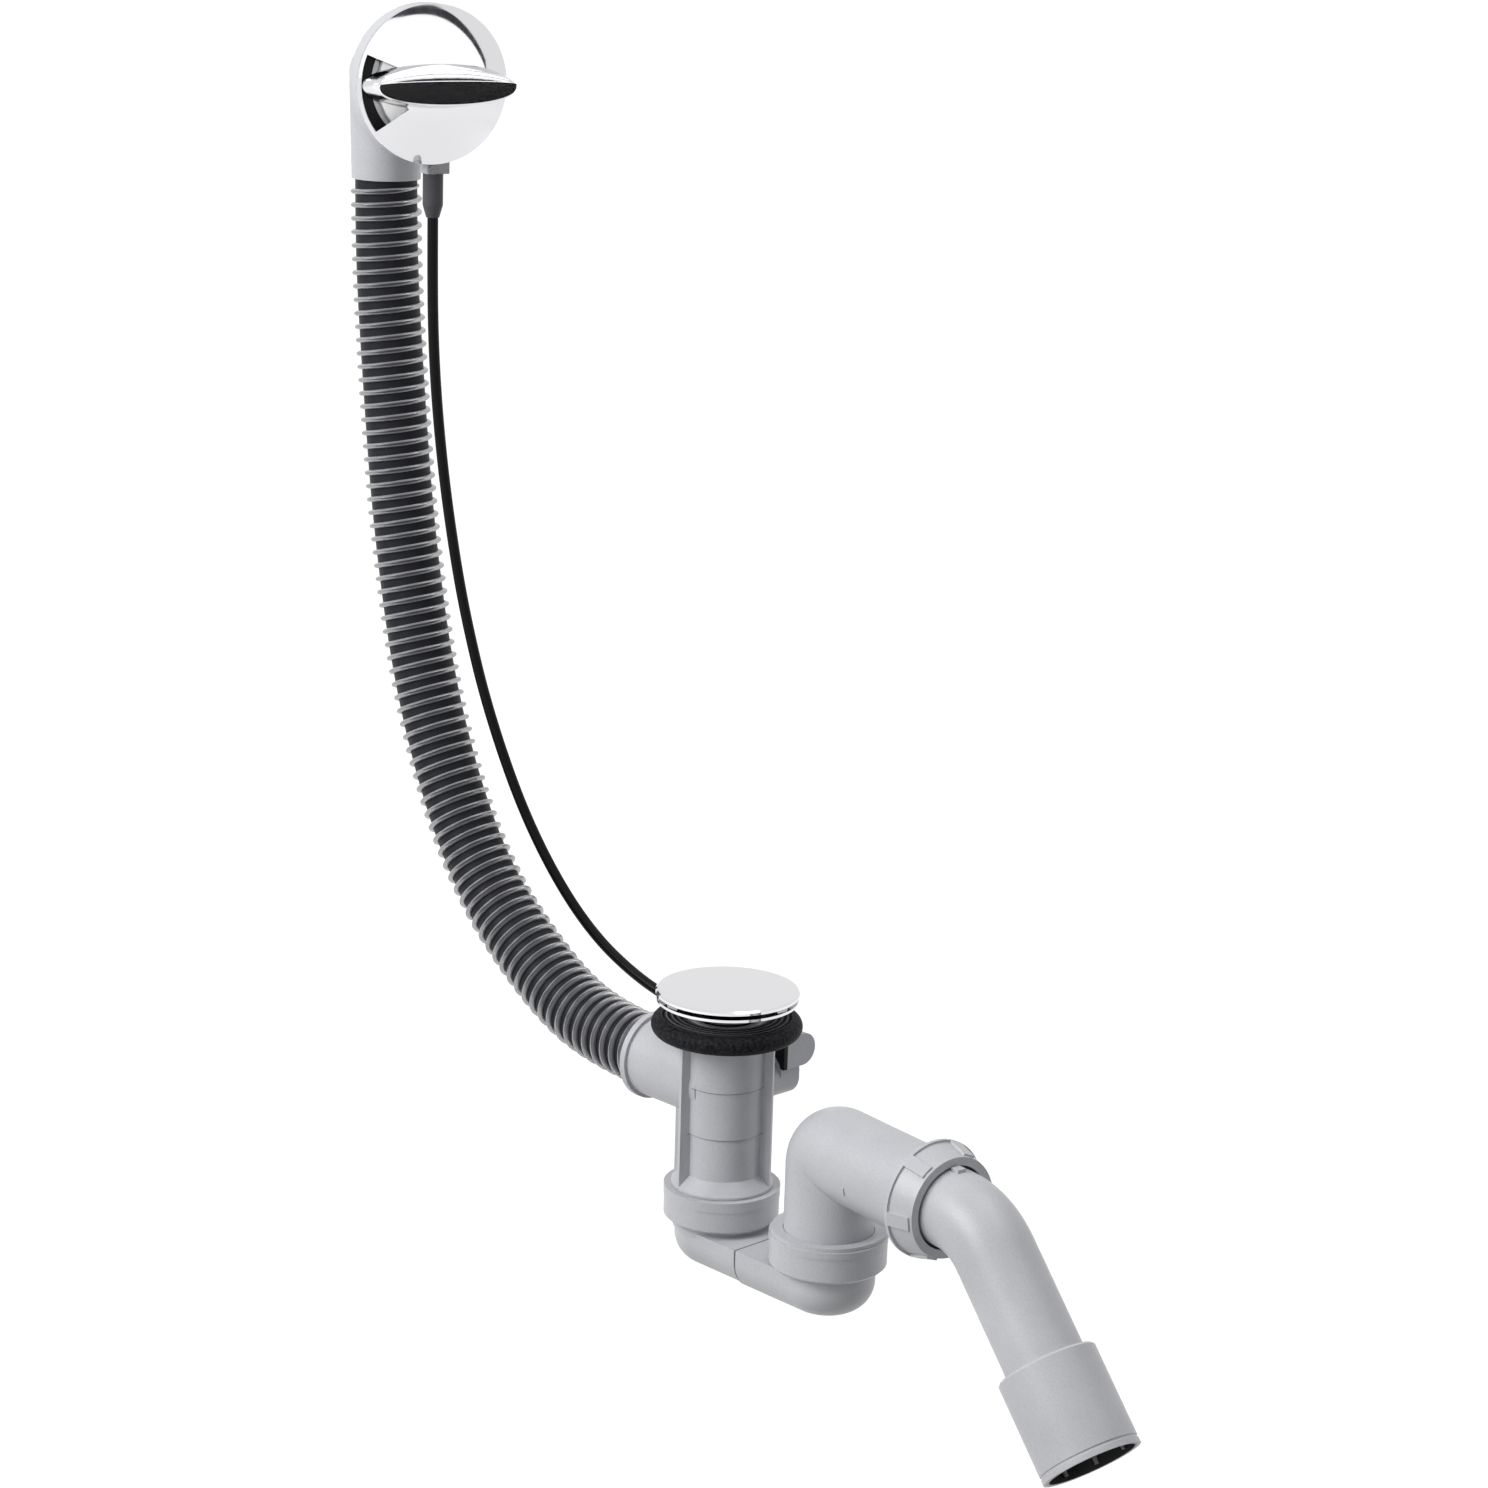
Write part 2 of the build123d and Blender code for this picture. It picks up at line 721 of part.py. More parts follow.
def outlet_bend():
    start = Vector(riser_x, 0, leg_z) + leg_dir * (leg_len - outlet_insert)
    finish = kink + fall_dir * (adapter_start + adapter_overlap)
    wire = FilletPolyline(start, kink, finish, radius=outlet_bend_r)
    pipe = pipe_along(wire, outlet_r) - pipe_along(wire, outlet_r - pipe_wall)
    key = Pos(0, outlet_r, nut_front + key_gap + key_len / 2) * Box(key_w, 2 * key_h, key_len)
    return pipe + leg_place * key


def outlet_adapter():
    """Sleeve that brings the pipe up to the drain's size, with ribs inside its mouth."""
    end = adapter_start + adapter_len
    bore = adapter_r - adapter_wall
    pipe_fit = outlet_r + seat_gap
    shoulder = adapter_start + adapter_shoulder_t
    groove = end - adapter_groove_at
    groove_end = groove + adapter_groove_w
    groove_r = adapter_r - adapter_groove_d
    sleeve = turned([
        (pipe_fit, adapter_start), (adapter_r - adapter_edge, adapter_start),
        (adapter_r, adapter_start + adapter_edge), (adapter_r, groove),
        (groove_r, groove + adapter_groove_slope), (groove_r, groove_end - adapter_groove_slope),
        (adapter_r, groove_end), (adapter_r, end), (bore, end), (bore, shoulder), (pipe_fit, shoulder),
    ])
    rib_start = adapter_start + adapter_overlap + adapter_rib_setback
    rib_len = end - adapter_rib_setback - rib_start
    for i in range(adapter_ribs):
        rib = Pos(bore, 0, rib_start + rib_len / 2) * Box(2 * adapter_rib_h, adapter_rib_t, rib_len)
        sleeve += Rot(0, 0, i * 360 / adapter_ribs) * rib
    return fall_place * sleeve


def adapter_seal():
    start = adapter_start + adapter_shoulder_t + adapter_seal_at
    outer = adapter_r - adapter_wall - seat_gap
    return fall_place * tube(outer, outlet_r + seat_gap, start, start + adapter_seal_len)


# Overflow head; "head" frame: X to the side, Y up, Z out of the bath wall, on the hose's axis

head_turn = radians(head_turn_deg)
head_out = Vector(cos(head_turn), sin(head_turn), 0)
head_plane = Plane(origin=(head_x, 0, head_z), x_dir=(-sin(head_turn), cos(head_turn), 0), z_dir=head_out)
head_place = head_plane.location
drum_back_w = rim_w - drum_depth
drum_front_w = rim_w - rosette_t
dome_r = (rim_r ** 2 + rosette_sag ** 2) / (2 * rosette_sag)
dome_w = rim_w + rosette_sag - dome_r
cable_w = drum_back_w + cable_inset
cable_wheel_w = rim_w - cable_wheel_back
cable_wheel_r = rim_r - cable_wheel_margin
lug_v = -(rim_r + lug_drop)
lug_w1 = drum_back_w + lug_front


def upright(shape):
    """Turns a shape made about Z so that its axis points up in the head's frame."""
    return Rot(-90, 0, 0) * shape


def overflow_body():
    spigot_len = -elbow_spigot_v
    fall = Cone(elbow_spigot_r, elbow_top_r, spigot_len, align=(Align.CENTER, Align.CENTER, Align.MIN))
    duct_len = drum_back_w + duct_overlap
    duct = Cone(elbow_top_r, duct_front_r, duct_len, align=(Align.CENTER, Align.CENTER, Align.MIN))
    body = upright(Pos(0, 0, elbow_spigot_v) * fall) + Sphere(elbow_top_r) + duct
    body += rod(rim_r, drum_back_w, drum_front_w)
    lug = Box(lug_u1 - lug_u0, lug_h, lug_back + lug_front, align=(Align.MIN, Align.MIN, Align.MIN))
    body += Pos(lug_u0, lug_v, drum_back_w - lug_back) * lug
    inner_r = elbow_top_r - elbow_wall
    duct_in = duct_front_r - elbow_wall
    cavity = Cone(inner_r, duct_in, drum_back_w + drum_wall, align=(Align.CENTER, Align.CENTER, Align.MIN))
    body -= Sphere(inner_r) + cavity + upright(rod(hose_r + loose_gap, elbow_spigot_v, 0))
    body -= rod(rim_r - drum_wall, drum_back_w + drum_wall, drum_front_w)
    spider_back = drum_back_w - spider_t
    body += rod(spider_hub_r, spider_back, drum_back_w)
    for angle in (90, 210, 330):
        reach = duct_front_r - spider_root
        spoke = Box(reach, spider_spoke_t, spider_t, align=(Align.MIN, Align.CENTER, Align.MIN))
        body += Rot(0, 0, angle) * Pos(0, 0, spider_back) * spoke
    body -= rod(spindle_r + running_gap, spider_back, drum_back_w)
    wire_place = Pos(wheel_pin_u, 0, cable_w)
    body -= wire_place * upright(rod(wire_r + loose_gap, lug_v, -rim_r / 2))
    return head_place * body


def overflow_gasket():
    start = drum_back_w + drum_wall
    outer = rim_r - drum_wall - overflow_gasket_gap
    ring = tube(outer, duct_front_r + overflow_gasket_step, start, start + overflow_gasket_t)
    notch = Box(6 * wire_r, 2 * duct_front_r, 4 * overflow_gasket_t)
    return head_place * (ring - Pos(wheel_pin_u, -duct_front_r, start) * notch)


def dome_cap(r):
    """Part of a sphere in front of the rim's plane."""
    ball = Pos(0, 0, dome_w) * Sphere(r)
    return ball & rod(2 * rim_r, rim_w, rim_w + 2 * rosette_sag)


def rosette():
    disc = dome_cap(dome_r) + rod(rim_r, drum_front_w + loose_gap, rim_w)
    disc -= Pos(0, 0, -rosette_t) * dome_cap(dome_r)
    disc -= rod(rim_r - rosette_edge, drum_front_w, drum_front_w + rosette_lip)
    boss_foot = cable_wheel_w + cable_wheel_t + rosette_boss_gap
    disc += rod(spindle_r + rosette_boss_wall, boss_foot, rim_w + rosette_sag - rosette_t / 2)
    disc -= rod(spindle_r + seat_gap, cable_wheel_w, rim_w + spindle_nose + spindle_end_gap)
    arc = window_to_deg - window_from_deg
    window = make_face(
        PolarLine((0, 0), 2 * rim_r, window_from_deg)
        + CenterArc((0, 0), 2 * rim_r, window_from_deg, arc)
        + PolarLine((0, 0), 2 * rim_r, window_to_deg)
    )
    window = window & (Circle(rim_r - window_edge) - Circle(window_in_r))
    return head_place * (disc - extrude(Plane.XY.offset(drum_back_w) * window, rim_r))


def lens(left, right, up, down, tip, tip_v):
    """Pointed oval: an upper and a lower arc joined by round tips of half height tip."""
    near = -(left - tip)
    far = right - tip
    middle = (right - left) / 2
    outline = ThreePointArc((near, tip_v + tip), (middle, up), (far, tip_v + tip))
    outline += ThreePointArc((far, tip_v + tip), (right, tip_v), (far, tip_v - tip))
    outline += ThreePointArc((far, tip_v - tip), (middle, -down), (near, tip_v - tip))
    outline += ThreePointArc((near, tip_v - tip), (-left, tip_v), (near, tip_v + tip))
    return make_face(outline)


def wing_handle():
    base = lens(
        handle_base_left, handle_base_right, handle_base_up,
        handle_base_down, handle_base_tip, handle_base_v,
    )
    face = lens(
        handle_face_left, handle_face_right, handle_face_up,
        handle_face_down, handle_face_tip, handle_face_v,
    )
    base_plane = Plane.XY.offset(rim_w + handle_base_w)
    face_plane = Plane.XY.offset(rim_w + handle_face_w)
    wing = loft([base_plane * base, face_plane * face])
    return head_place * (wing - Pos(0, 0, dome_w) * Sphere(dome_r + seat_gap))


def spindle():
    return head_place * rod(spindle_r, drum_back_w - spindle_tail, rim_w + spindle_nose)


def cable_wheel():
    wheel = rod(cable_wheel_r, cable_wheel_w, cable_wheel_w + cable_wheel_t)
    wheel -= rod(spindle_r + seat_gap, cable_wheel_w, cable_wheel_w + cable_wheel_t)
    pin = rod(nipple_r + seat_gap, cable_wheel_w, cable_wheel_w + cable_wheel_t)
    return head_place * (wheel - Pos(wheel_pin_u, wheel_pin_v, 0) * pin)


def wheel_nipple():
    start = cable_w - wire_r - nipple_cheek
    pin = rod(nipple_r, start, cable_wheel_w + cable_wheel_t)
    return head_place * Pos(wheel_pin_u, wheel_pin_v, 0) * pin


cable_boot_place = head_place * Pos(wheel_pin_u, 0, cable_w)


def cable_boot():
    body = upright(rod(boot_r, lug_v - boot_len, lug_v))
    tip = Cone(boot_tip_r, boot_r, boot_taper, align=(Align.CENTER, Align.CENTER, Align.MIN))
    body += upright(Pos(0, 0, lug_v - boot_len - boot_taper) * tip)
    bore = upright(rod(cable_r + seat_gap, lug_v - boot_len - boot_taper, lug_v - boot_socket))
    wire = upright(rod(wire_r + loose_gap, lug_v - boot_socket, lug_v))
    return cable_boot_place * (body - bore - wire)


def clamp_screw():
    """Small hexagon screw in the lug that clamps the cable's end."""
    hexagon = RegularPolygon(lug_screw_af / 2, 6, major_radius=False)
    screw = extrude(Plane.XY.offset(lug_w1) * hexagon, lug_screw_h)
    return head_place * Pos(lug_screw_u, lug_v + lug_screw_rise, 0) * screw


def overflow_hose():
    wire = route_wire(hose_route)
    hose = pipe_along(wire, hose_r)
    first = (hose_route[0][2] - (head_z + elbow_spigot_v) + bead_pitch / 2) / wire.length
    last = 1 - (hose_route[-1][0] - branch_end_x + bead_w) / wire.length
    count = int((last - first) * wire.length / bead_pitch)
    root_r = hose_r - hose_wall / 2
    bead = turned([
        (root_r, -bead_w / 2), (bead_r, -bead_w / 6), (bead_r, bead_w / 6), (root_r, bead_w / 2),
    ])
    beads = []
    for i in range(count + 1):
        u = first + (last - first) * i / count
        beads.append(Plane(origin=wire @ u, z_dir=wire % u).location * bead)
    hose = hose.fuse(*beads)
    print("hose length", round(wire.length, 1), "beads", count + 1)
    return Part() + hose - pipe_along(wire, hose_r - hose_wall)


def branch_seal():
    """Rubber sleeve that holds the hose's end in the branch's socket."""
    start = branch_end_x + hose_seal_inset
    sleeve = tube(branch_socket_r - seat_gap, hose_r + loose_gap, start, start + hose_seal_len)
    return Pos(0, 0, branch_z) * along_x(sleeve)


def bowden_cable():
    top = head_plane.from_local_coords(Vector(wheel_pin_u, lug_v - boot_socket, cable_w))
    lead = top - Vector(0, 0, boot_len + boot_taper + cable_lead)
    mouth = Vector(cable_end_x - cable_insert, cable_end_y, cable_end_z)
    end = Vector(cable_end_x + cable_insert, cable_end_y, cable_end_z)
    route = [tuple(top), tuple(lead)] + cable_route + [tuple(mouth), tuple(end)]
    print("cable route", [tuple(round(c, 1) for c in p) for p in route])
    wire = route_wire(route)
    cable = pipe_along(wire, cable_r)
    ratio = cable.volume / (pi * cable_r ** 2 * wire.length)
    print("cable length", round(wire.length, 1), "volume ratio", round(ratio, 4))
    return cable


def cable_wire():
    """The wire's two bare ends, beyond the sheath, towards the wheel and the lever."""
    wire_top = wheel_pin_v - nipple_r - nipple_cheek
    top = cable_boot_place * upright(rod(wire_r, lug_v - boot_socket, wire_top))
    place = Pos(cable_end_x + cable_insert, cable_end_y, cable_end_z)
    low = place * along_x(rod(wire_r, 0, wire_tail))
    return Compound(children=[top.solids()[0], low.solids()[0]])


os.makedirs("parts", exist_ok=True)
pieces = {
    "waste_body": waste_body(),
    "waste_gasket": waste_gasket(),
    "waste_flange": waste_flange(),
    "plug_cap": plug_cap(),
    "plug_seal": plug_seal(),
    "plug_stem": plug_stem(),
    "stem_nut": stem_nut(),
    "crank_shaft": crank_shaft(),
    "cable_lever": cable_lever(),
    "lever_nipple": lever_nipple(),
    "shaft_seal": shaft_seal(),
    "housing_plate": housing_plate(),
    "cable_housing": cable_housing(),
    "housing_screw": housing_screw(),
    "trap_inlet": trap_inlet(),
    "trap_outlet": trap_outlet(),
    "inlet_ring": inlet_ring(),
    "outlet_ring": outlet_ring(),
    "inlet_lip_seal": lip_seal(seal_r_in),
    "outlet_lip_seal": Pos(riser_x, 0, 0) * lip_seal(riser_r + loose_gap),
    "riser_elbow": riser_elbow(),
    "union_nut": union_nut(),
    "wedge_seal": wedge_seal(),
    "slip_washer": slip_washer(),
    "outlet_bend": outlet_bend(),
    "outlet_adapter": outlet_adapter(),
    "adapter_seal": adapter_seal(),
    "overflow_body": overflow_body(),
    "overflow_gasket": overflow_gasket(),
    "rosette": rosette(),
    "wing_handle": wing_handle(),
    "spindle": spindle(),
    "cable_wheel": cable_wheel(),
    "wheel_nipple": wheel_nipple(),
    "cable_boot": cable_boot(),
    "clamp_screw": clamp_screw(),
    "overflow_hose": overflow_hose(),
    "branch_seal": branch_seal(),
    "bowden_cable": bowden_cable(),
    "cable_wire": cable_wire(),
}
for name, shape in pieces.items():
    save(name, shape)
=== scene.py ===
import bpy
import numpy as np
from mathutils import Matrix, Vector


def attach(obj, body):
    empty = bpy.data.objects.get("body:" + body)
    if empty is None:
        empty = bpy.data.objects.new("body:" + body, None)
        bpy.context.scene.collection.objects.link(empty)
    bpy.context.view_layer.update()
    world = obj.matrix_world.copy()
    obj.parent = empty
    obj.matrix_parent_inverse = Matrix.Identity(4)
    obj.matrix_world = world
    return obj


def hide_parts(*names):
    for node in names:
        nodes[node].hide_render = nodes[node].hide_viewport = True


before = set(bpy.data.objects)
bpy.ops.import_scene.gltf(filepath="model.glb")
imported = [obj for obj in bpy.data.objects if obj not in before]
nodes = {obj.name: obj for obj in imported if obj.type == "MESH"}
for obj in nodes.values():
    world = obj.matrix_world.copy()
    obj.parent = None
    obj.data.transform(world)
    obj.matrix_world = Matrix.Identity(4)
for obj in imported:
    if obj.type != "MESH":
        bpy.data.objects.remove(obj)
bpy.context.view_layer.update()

# Studio: a long lens, a little higher than the overflow head, looks down over the outlet. A pale floor
# far below and a white surround stand in for a paper sweep. Two wide soft boxes light the object, a weak
# one behind it gives the round parts a bright edge, and a tiny narrow one reaches the overflow head.

camera_at = (1.27989, -1.23657, 0.61697)
camera_pan = np.radians(44.15)
camera_pitch = np.radians(14.89)
camera_roll = np.radians(1.81)
ahead = np.array([
    -np.cos(camera_pan) * np.cos(camera_pitch),
    np.sin(camera_pan) * np.cos(camera_pitch),
    -np.sin(camera_pitch),
])
level = np.cross(ahead, [0, 0, 1])
level = level / np.linalg.norm(level)
above = np.cross(level, ahead)
side = np.cos(camera_roll) * level + np.sin(camera_roll) * above
top = -np.sin(camera_roll) * level + np.cos(camera_roll) * above
camera_data = bpy.data.cameras.new("camera")
camera_data.lens = 88.70
camera_data.sensor_width = 36.0
camera_data.clip_end = 200.0
camera = bpy.data.objects.new("camera", camera_data)
turn = np.eye(4)
turn[:3, 0] = side
turn[:3, 1] = top
turn[:3, 2] = -ahead
turn[:3, 3] = camera_at
camera.matrix_world = Matrix(turn.tolist())
bpy.context.collection.objects.link(camera)
bpy.context.scene.camera = camera
bpy.context.scene.view_settings.view_transform = "Standard"


def paint(hex_colour):
    """A colour written as sRGB hex, as the linear RGBA that a shader socket takes."""
    rgb = np.array([int(hex_colour[i:i + 2], 16) for i in (1, 3, 5)]) / 255
    linear = np.where(rgb <= 0.04045, rgb / 12.92, ((rgb + 0.055) / 1.055) ** 2.4)
    return (*linear, 1.0)


def add_node(tree, kind, settings=None, **inputs):
    """Adds a shader node, sets its properties, and sets or links its inputs by name."""
    node = tree.nodes.new(kind)
    for name, value in (settings or {}).items():
        setattr(node, name, value)
    for name, value in inputs.items():
        socket = node.inputs[int(name[1:])] if name[0] == "_" else node.inputs[name.replace("_", " ")]
        if isinstance(value, bpy.types.NodeSocket):
            tree.links.new(value, socket)
        else:
            socket.default_value = value
    return node


def add_mesh(name, points, faces, smooth=True):
    """A new piece from an array of points and a list of faces, at the origin."""
    mesh = bpy.data.meshes.new(name)
    mesh.from_pydata(np.asarray(points).tolist(), [], [list(map(int, f)) for f in faces])
    mesh.polygons.foreach_set("use_smooth", np.full(len(mesh.polygons), smooth))
    mesh.update()
    piece = bpy.data.objects.new(name, mesh)
    bpy.context.collection.objects.link(piece)
    return piece


def seen_rays(tree):
    """1 for rays that look at a surface, straight or by way of metal and glass, and 0 for its light."""
    path = add_node(tree, "ShaderNodeLightPath")
    seen = add_node(tree, "ShaderNodeMath", {"operation": "MAXIMUM"},
                    _0=path.outputs["Is Camera Ray"], _1=path.outputs["Is Glossy Ray"])
    return add_node(tree, "ShaderNodeMath", {"operation": "MAXIMUM"},
                    _0=seen.outputs[0], _1=path.outputs["Is Transmission Ray"]).outputs[0]


floor_z = -0.6
floor_reach = 40.0
corners = np.array([[-1, -1], [1, -1], [1, 1], [-1, 1]]) * floor_reach
floor = add_mesh("floor", np.column_stack([corners, np.full(4, floor_z)]), [(0, 1, 2, 3)])
floor_paint = bpy.data.materials.new("white paper")
floor_paint.use_nodes = True
tree = floor_paint.node_tree
tree.nodes.clear()
# The paper brightens away from the object, as a sweep does that has its own light at the back.
glow_near, glow_far = 0.72, 1.0
near_reach, far_reach = 0.8, 3.0
where = add_node(tree, "ShaderNodeTexCoord")
far = add_node(tree, "ShaderNodeVectorMath", {"operation": "LENGTH"}, _0=where.outputs["Object"])
lift = add_node(tree, "ShaderNodeMapRange", Value=far.outputs["Value"], From_Min=near_reach,
                From_Max=far_reach, To_Min=glow_near, To_Max=glow_far)
glow_amount = add_node(tree, "ShaderNodeMath", {"operation": "MULTIPLY"},
                       _0=seen_rays(tree), _1=lift.outputs[0])
glow = add_node(tree, "ShaderNodeEmission", Color=(1, 1, 1, 1), Strength=glow_amount.outputs[0])
matt = add_node(tree, "ShaderNodeBsdfDiffuse", Color=paint("#b4b4b4"))
both = add_node(tree, "ShaderNodeAddShader", _0=matt.outputs[0], _1=glow.outputs[0])
add_node(tree, "ShaderNodeOutputMaterial", Surface=both.outputs[0])
floor.data.materials.append(floor_paint)

world = bpy.data.worlds.new("surround")
world.use_nodes = True
tree = world.node_tree
tree.nodes.clear()
# The surround looks white, and lights the object with much less.
fill_light = 0.18
strength = add_node(tree, "ShaderNodeMapRange", Value=seen_rays(tree), To_Min=fill_light, To_Max=1.0)
surround = add_node(tree, "ShaderNodeBackground", Color=(1, 1, 1, 1), Strength=strength.outputs[0])
add_node(tree, "ShaderNodeOutputWorld", Surface=surround.outputs[0])
bpy.context.scene.world = world


def soft_box(name, at, aim, width, power, spread=180.0):
    """A square area lamp at a place, turned to an aim point, with a grid that narrows it to a spread."""
    lamp = bpy.data.lights.new(name, "AREA")
    lamp.size = width
    lamp.energy = power
    lamp.spread = np.radians(spread)
    box = bpy.data.objects.new(name, lamp)
    box.matrix_world = (Vector(aim) - Vector(at)).to_track_quat("-Z", "Y").to_matrix().to_4x4()
    box.location = at
    bpy.context.collection.objects.link(box)
    return box


middle = (-0.05, 0.0, 0.15)
soft_box("key box", at=(-0.7, -2.15, 1.5), aim=middle, width=1.6, power=62.0)
soft_box("top box", at=(0.3, 0.4, 2.4), aim=middle, width=1.8, power=20.0)
rim_box = soft_box("rim box", at=(0.6, 1.9, 0.5), aim=middle, width=1.2, power=10.0)
rim_box.visible_glossy = False  # kept out of the mirror of the polished dome
soft_box("head box", at=(0.95, -0.95, 0.70), aim=(-0.226, -0.044, 0.455), width=0.02, power=0.003,
         spread=2.2)


def toward(azimuth, elevation):
    """Unit directions for arrays of compass angles and heights in degrees."""
    a, e = np.radians(azimuth), np.radians(elevation)
    return np.stack([np.cos(a) * np.cos(e), np.sin(a) * np.cos(e), np.sin(e)], -1)


def blended(tree, factor, first, second):
    """A colour between two, each a socket or an sRGB hex, by a factor socket."""
    mix = add_node(tree, "ShaderNodeMix", {"data_type": "RGBA"}, Factor=factor)
    for name, value in (("A", first), ("B", second)):
        if isinstance(value, str):
            mix.inputs[name].default_value = paint(value)
        else:
            tree.links.new(value, mix.inputs[name])
    return mix.outputs["Result"]


head_middle = np.array([-0.220, -0.020, 0.454])
card_distance = 1.3
card_bands = 8


def mirror_card(name, azimuth, low, high, colour, strength, fade=None):
    """A curved card that only polished metal shows: a strip between two lines of elevation over an
    arc of azimuth, at one distance from the overflow head. It may fade to white between two elevations."""
    rows = low + (high - low) * np.linspace(0, 1, card_bands + 1)[:, None]
    points = head_middle + card_distance * toward(np.broadcast_to(azimuth, rows.shape), rows)
    n = len(azimuth)
    i, j = np.meshgrid(np.arange(card_bands), np.arange(n - 1), indexing="ij")
    first = (i * n + j).ravel()
    card = add_mesh(name, points.reshape(-1, 3), np.stack([first, first + 1, first + n + 1, first + n], 1))
    card_paint = bpy.data.materials.new(name)
    card_paint.use_nodes = True
    tree = card_paint.node_tree
    tree.nodes.clear()
    shine = add_node(tree, "ShaderNodeEmission", Color=paint(colour), Strength=strength)
    if fade:
        where = add_node(tree, "ShaderNodeTexCoord").outputs["Object"]
        height = add_node(tree, "ShaderNodeSeparateXYZ", Vector=where).outputs["Z"]
        from_z, to_z = head_middle[2] + card_distance * np.sin(np.radians(fade))
        pale = add_node(tree, "ShaderNodeMapRange", Value=height, From_Min=from_z, From_Max=to_z)
        tree.links.new(blended(tree, pale.outputs[0], colour, "#ffffff"), shine.inputs["Color"])
    add_node(tree, "ShaderNodeOutputMaterial", Surface=shine.outputs[0])
    card.data.materials.append(card_paint)
    card.visible_camera = False
    card.visible_diffuse = False
    card.visible_shadow = False
    card.visible_transmission = False


# The rosette shows a white card above, edged by a black one. The handle's face shows a black one below.
# The edges between them are smooth curves of the fourth degree through a few angles in degrees.
inner_bend = ([-30, -9.4, 5.7, 18.7, 28.1, 36.1], [33.2, 38.1, 36.5, 30.5, 20.3, 6.2])
outer_bend = ([-30, -12.4, 4.6, 18.6, 27, 33.1, 38.5], [33.2, 40.8, 42.1, 36.8, 30.2, 19, 6])
inner_curve = np.polyfit(*inner_bend, 4)
outer_curve = np.polyfit(*outer_bend, 4)
white_low = -0.5
arc = np.linspace(-60, 36.5, 65)
white_top = np.maximum(np.polyval(inner_curve, arc), white_low)
mirror_card("white card", arc, np.full_like(arc, white_low), white_top, "#ffffff", 1.4)
arc = np.linspace(-30, 38, 65)
edge_low = np.polyval(inner_curve, arc)
edge_top = np.maximum(np.polyval(outer_curve, arc), edge_low)
mirror_card("black edge card", arc, edge_low, edge_top, "#424247", 1.0)
arc = np.linspace(-9, 17, 9)
low_from, low_fade, low_to = -16.0, -1.5, 6.0
mirror_card("black low card", arc, np.full_like(arc, low_from), np.full_like(arc, low_to), "#0a0a0c", 1.0,
            fade=(low_fade, low_to))

# Bowden cable: a smooth black plastic sheath over a pull wire, pushed into the boot under the
# overflow head and into the side housing of the waste. It hangs in one long bow between them.

cable_route = np.array([
    [-228.6, -12.6, 402.9], [-228.6, -12.6, 365.9], [-229.6, -10.8, 318.0], [-228.6, -7.4, 272.0],
    [-225.6, -2.4, 224.0], [-219.5, 4.4, 170.0], [-206.5, 12.6, 112.0], [-184.5, 24.6, 50.0],
    [-152.0, 37.0, 1.0], [-112.0, 47.0, -24.5], [-70.0, 49.6, -29.4], [-42.5, 47.0, -29.4],
    [-26.5, 47.0, -29.4],
]) / 1000
cable_r = 0.0029


def spline_of(name, route):
    """A smooth open spline with the route's points as its control points."""
    curve = bpy.data.curves.new(name, "CURVE")
    curve.dimensions = "3D"
    line = curve.splines.new("NURBS")
    line.points.add(len(route) - 1)
    line.points.foreach_set("co", np.column_stack([route, np.ones(len(route))]).ravel())
    line.order_u = 3
    line.use_endpoint_u = True
    line.resolution_u = 16
    piece = bpy.data.objects.new(name, curve)
    bpy.context.collection.objects.link(piece)
    return piece


def material_of(name, **inputs):
    """A new material of that name with one principled shader; returns it, its tree and the shader."""
    made = bpy.data.materials.new(name)
    made.use_nodes = True
    shader = made.node_tree.nodes["Principled BSDF"]
    for socket, value in inputs.items():
        shader.inputs[socket.replace("_", " ")].default_value = value
    return made, made.node_tree, shader


def wear(piece, material):
    """Puts one material on every face of a piece."""
    piece.data.materials.clear()
    piece.data.materials.append(material)


cable = spline_of("cable_sheath", cable_route)
cable.data.bevel_depth = cable_r
cable.data.bevel_resolution = 6
cable.data.use_fill_caps = True
# Extruded PVC: smooth satin black, with a faint waviness from the extruder.
wave_mm = 6.25
pvc, tree, shader = material_of("extruded black PVC", Base_Color=paint("#08080a"), Roughness=0.4,
                                Specular_IOR_Level=0.12)
where = add_node(tree, "ShaderNodeTexCoord").outputs["Object"]
waves = add_node(tree, "ShaderNodeTexNoise", Vector=where, Scale=1000 / wave_mm, Detail=2.0)
bump = add_node(tree, "ShaderNodeBump", Strength=0.06, Distance=0.0004, Height=waves.outputs[0])
tree.links.new(bump.outputs[0], shader.inputs["Normal"])
wear(cable, pvc)
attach(cable, "waste")
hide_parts("bowden_cable")

# Overflow hose: a dark extruded tube with a clear round bead wound round it and welded on. The
# bead stiffens it against kinks. One end sits in the overflow elbow, the other in the branch.

hose_route = np.array([
    [-284.0, 0, 408.0], [-284.0, 0, 362.0], [-277.6, 0, 296.0], [-266.5, 0, 205.0],
    [-243.5, 0, 110.0], [-200.0, 0, 28.0], [-138.0, 0, -20.0], [-90.0, 0, -36.4], [-42.0, 0, -36.4],
]) / 1000
hose_r = 0.0167
hose_bore = 0.0152
bead_pitch = 0.0072
bead_half = 0.00145
bead_top = 0.0192
hose_line = spline_of("hose_line", hose_route)
hose_line.data.splines[0].resolution_u = 48
line_mesh = bpy.data.meshes.new_from_object(hose_line)
centre = np.zeros(3 * len(line_mesh.vertices))
line_mesh.vertices.foreach_get("co", centre)
centre = centre.reshape(-1, 3)
bpy.data.meshes.remove(line_mesh)
bpy.data.objects.remove(hose_line)
gone = np.concatenate([[0], np.cumsum(np.linalg.norm(np.diff(centre, axis=0), axis=1))])
hose_length = gone[-1]


